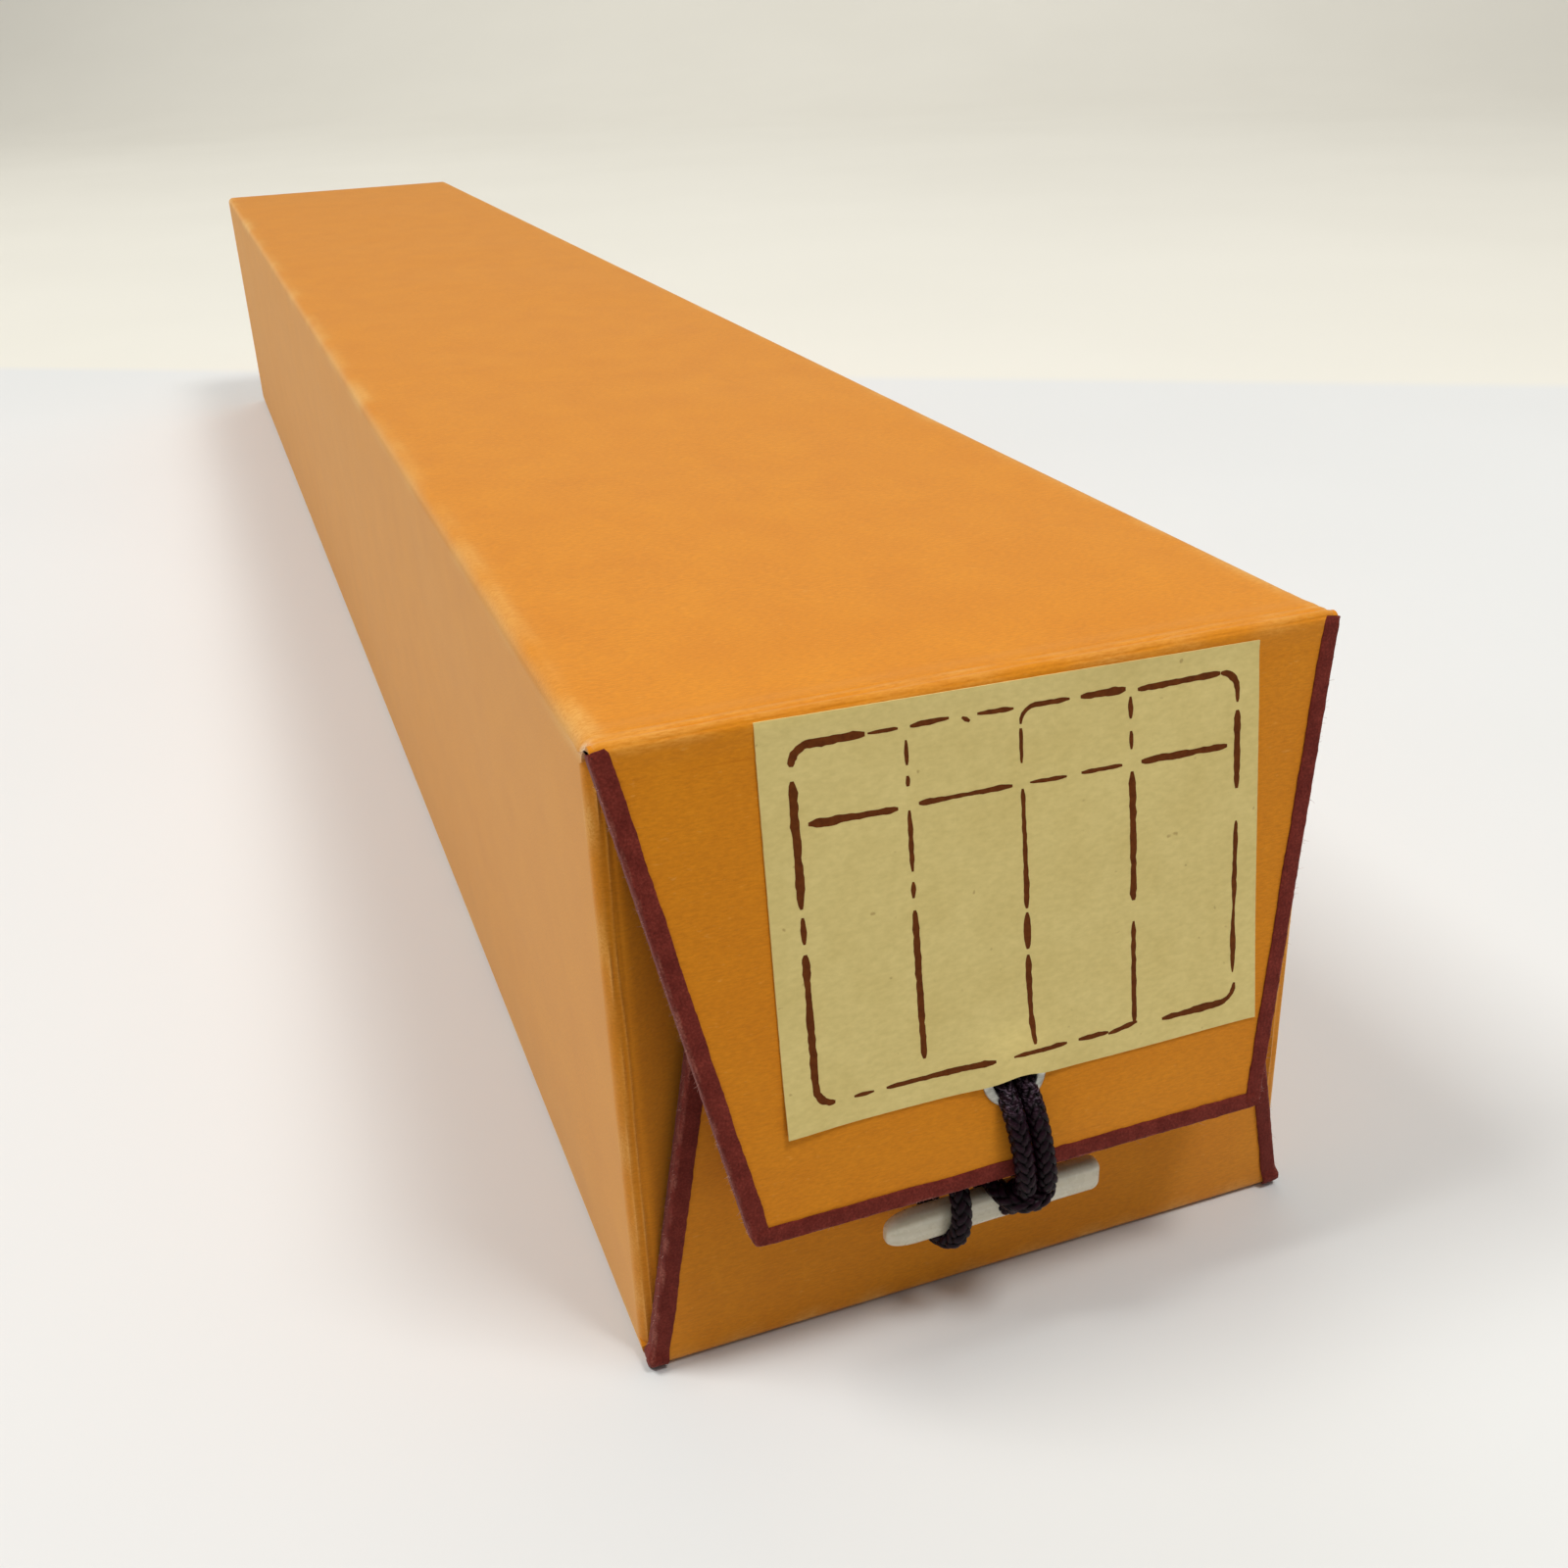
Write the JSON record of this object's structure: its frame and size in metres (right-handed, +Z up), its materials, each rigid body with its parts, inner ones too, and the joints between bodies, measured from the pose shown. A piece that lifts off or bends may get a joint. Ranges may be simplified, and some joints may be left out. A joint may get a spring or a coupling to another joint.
{
  "type": "scroll storage case",
  "caption": "Long paper-covered board case for a rolled scroll, closed at its front end by folded flaps, a cord and a toggle.",
  "frame": {"origin": "centre of the base panel's outer face, which the case stands on", "axes": "+Y runs along the case to its closed far end, +X is to the right seen from the flap end, +Z is up"},
  "size_m": [0.09, 0.6145, 0.083],
  "materials": {
    "orange_board": "matt orange paper over board",
    "maroon_tape": "matt maroon binding tape",
    "label_paper": "matt cream paper",
    "eyelet_metal": "dull aluminium",
    "braided_cord": "dark purple braided cord",
    "ivory_plastic": "glossy ivory-coloured peg"
  },
  "bodies": {
    "case": {"case_shell": "orange_board", "lower_flap_binding": "maroon_tape", "lower_eyelet": "eyelet_metal", "latch_loop": "braided_cord"},
    "top_flap": {"top_flap": "orange_board", "top_flap_binding": "maroon_tape", "label": "label_paper", "top_eyelet": "eyelet_metal", "closing_cord": "braided_cord"},
    "toggle": {"toggle": "ivory_plastic"}
  },
  "joints": [
    {"name": "top_flap_hinge", "type": "hinge", "parent": "case", "child": "top_flap", "pos_m": [0, -0.3013, 0.0821], "axis": [-1, 0, 0], "range_deg": [0, 170], "deforming": ["latch_loop"]},
    {"name": "toggle_slide", "type": "slide", "parent": "top_flap", "child": "toggle", "axis": [1, 0, 0], "range_m": [0, 0.011]}
  ]
}
